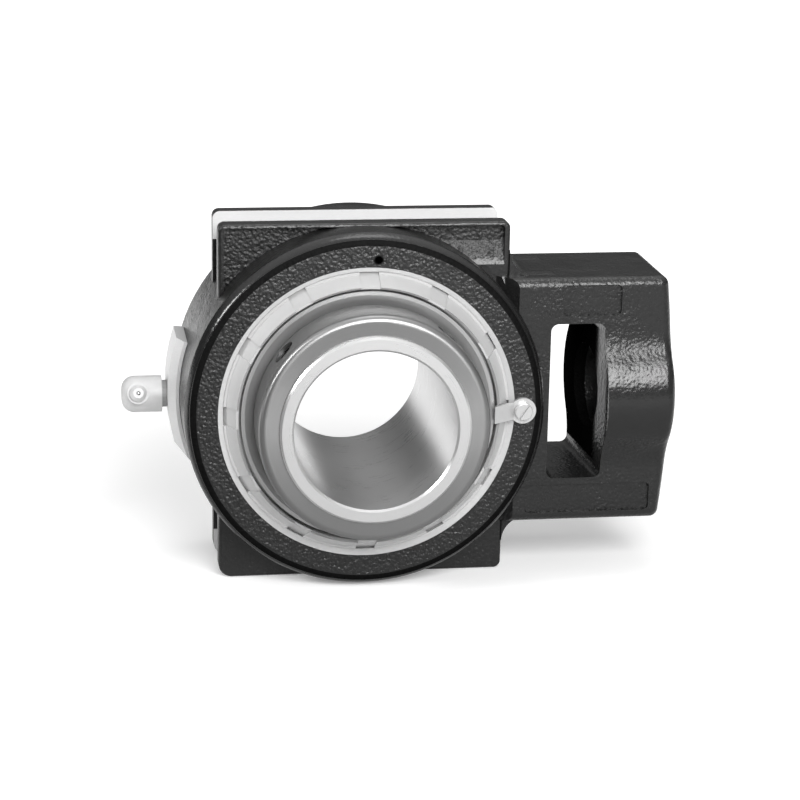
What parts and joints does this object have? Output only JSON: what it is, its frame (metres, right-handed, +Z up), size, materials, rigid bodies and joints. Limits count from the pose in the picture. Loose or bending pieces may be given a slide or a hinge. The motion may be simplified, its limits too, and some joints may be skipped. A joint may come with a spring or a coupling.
{
  "type": "take-up bearing unit",
  "caption": "Take-up roller bearing unit: cast housing with guide grooves and screw end, double-row tapered roller bearing, adjusting cover and locking collar.",
  "frame": {"origin": "on the shaft bore's axis, midway between the guide groove walls", "axes": "+X towards the screw end, +Y along the bore away from the locking collar, +Z up through the upper guide groove"},
  "size_m": [0.2146, 0.0964, 0.1416],
  "materials": {
    "black_paint": "gloss black enamel over rough casting",
    "ground_steel": "ground",
    "dark_steel": "turned, satin",
    "zinc_plate": "bright zinc",
    "bright_steel": "pressed, bright",
    "bearing_steel": "ground",
    "cage_steel": "pressed",
    "seal_rubber": "matte",
    "black_oxide": "black oxide",
    "fitting_plate": "zinc plated"
  },
  "bodies": {
    "housing": {"housing": "black_paint", "front_cup": "bearing_steel", "rear_cup": "bearing_steel", "adjusting_cover": "zinc_plate", "front_seal_case": "bright_steel", "front_seal_lip": "seal_rubber", "rear_seal_case": "bright_steel", "rear_seal_lip": "seal_rubber", "lock_clip": "zinc_plate", "clip_screw": "zinc_plate", "grease_fitting": "fitting_plate", "check_spring": "bearing_steel"},
    "shaft_sleeve": {"inner_ring": "ground_steel", "locking_collar": "dark_steel", "set_screw_upper": "black_oxide", "set_screw_lower": "black_oxide", "front_flinger": "bright_steel", "rear_flinger": "bright_steel"},
    "front_roller_row": {"front_cage": "cage_steel", "front_roller_01": "bearing_steel", "front_roller_02": "bearing_steel", "front_roller_03": "bearing_steel", "front_roller_04": "bearing_steel", "front_roller_05": "bearing_steel", "front_roller_06": "bearing_steel", "front_roller_07": "bearing_steel", "front_roller_08": "bearing_steel", "front_roller_09": "bearing_steel", "front_roller_10": "bearing_steel", "front_roller_11": "bearing_steel", "front_roller_12": "bearing_steel", "front_roller_13": "bearing_steel", "front_roller_14": "bearing_steel", "front_roller_15": "bearing_steel", "front_roller_16": "bearing_steel"},
    "rear_roller_row": {"rear_cage": "cage_steel", "rear_roller_01": "bearing_steel", "rear_roller_02": "bearing_steel", "rear_roller_03": "bearing_steel", "rear_roller_04": "bearing_steel", "rear_roller_05": "bearing_steel", "rear_roller_06": "bearing_steel", "rear_roller_07": "bearing_steel", "rear_roller_08": "bearing_steel", "rear_roller_09": "bearing_steel", "rear_roller_10": "bearing_steel", "rear_roller_11": "bearing_steel", "rear_roller_12": "bearing_steel", "rear_roller_13": "bearing_steel", "rear_roller_14": "bearing_steel", "rear_roller_15": "bearing_steel", "rear_roller_16": "bearing_steel"},
    "check_ball": {"check_ball": "bearing_steel"}
  },
  "joints": [
    {"name": "shaft_spin", "type": "hinge", "parent": "housing", "child": "shaft_sleeve", "pos_m": [0, 0, 0], "axis": [0, 1, 0], "continuous": true},
    {"name": "front_row_roll", "type": "hinge", "parent": "housing", "child": "front_roller_row", "pos_m": [0, 0, 0], "axis": [0, 1, 0], "continuous": true},
    {"name": "rear_row_roll", "type": "hinge", "parent": "housing", "child": "rear_roller_row", "pos_m": [0, 0, 0], "axis": [0, 1, 0], "continuous": true},
    {"name": "check_ball_press", "type": "slide", "parent": "housing", "child": "check_ball", "axis": [0, 0.9563, -0.2924], "range_m": [0, 0.0008], "stiffness_N_per_m": 200, "deforming": ["check_spring"]}
  ],
  "couplings": [
    {"joint": "front_row_roll", "follows": "shaft_spin", "ratio": 0.44049},
    {"joint": "rear_row_roll", "follows": "shaft_spin", "ratio": 0.44049}
  ]
}
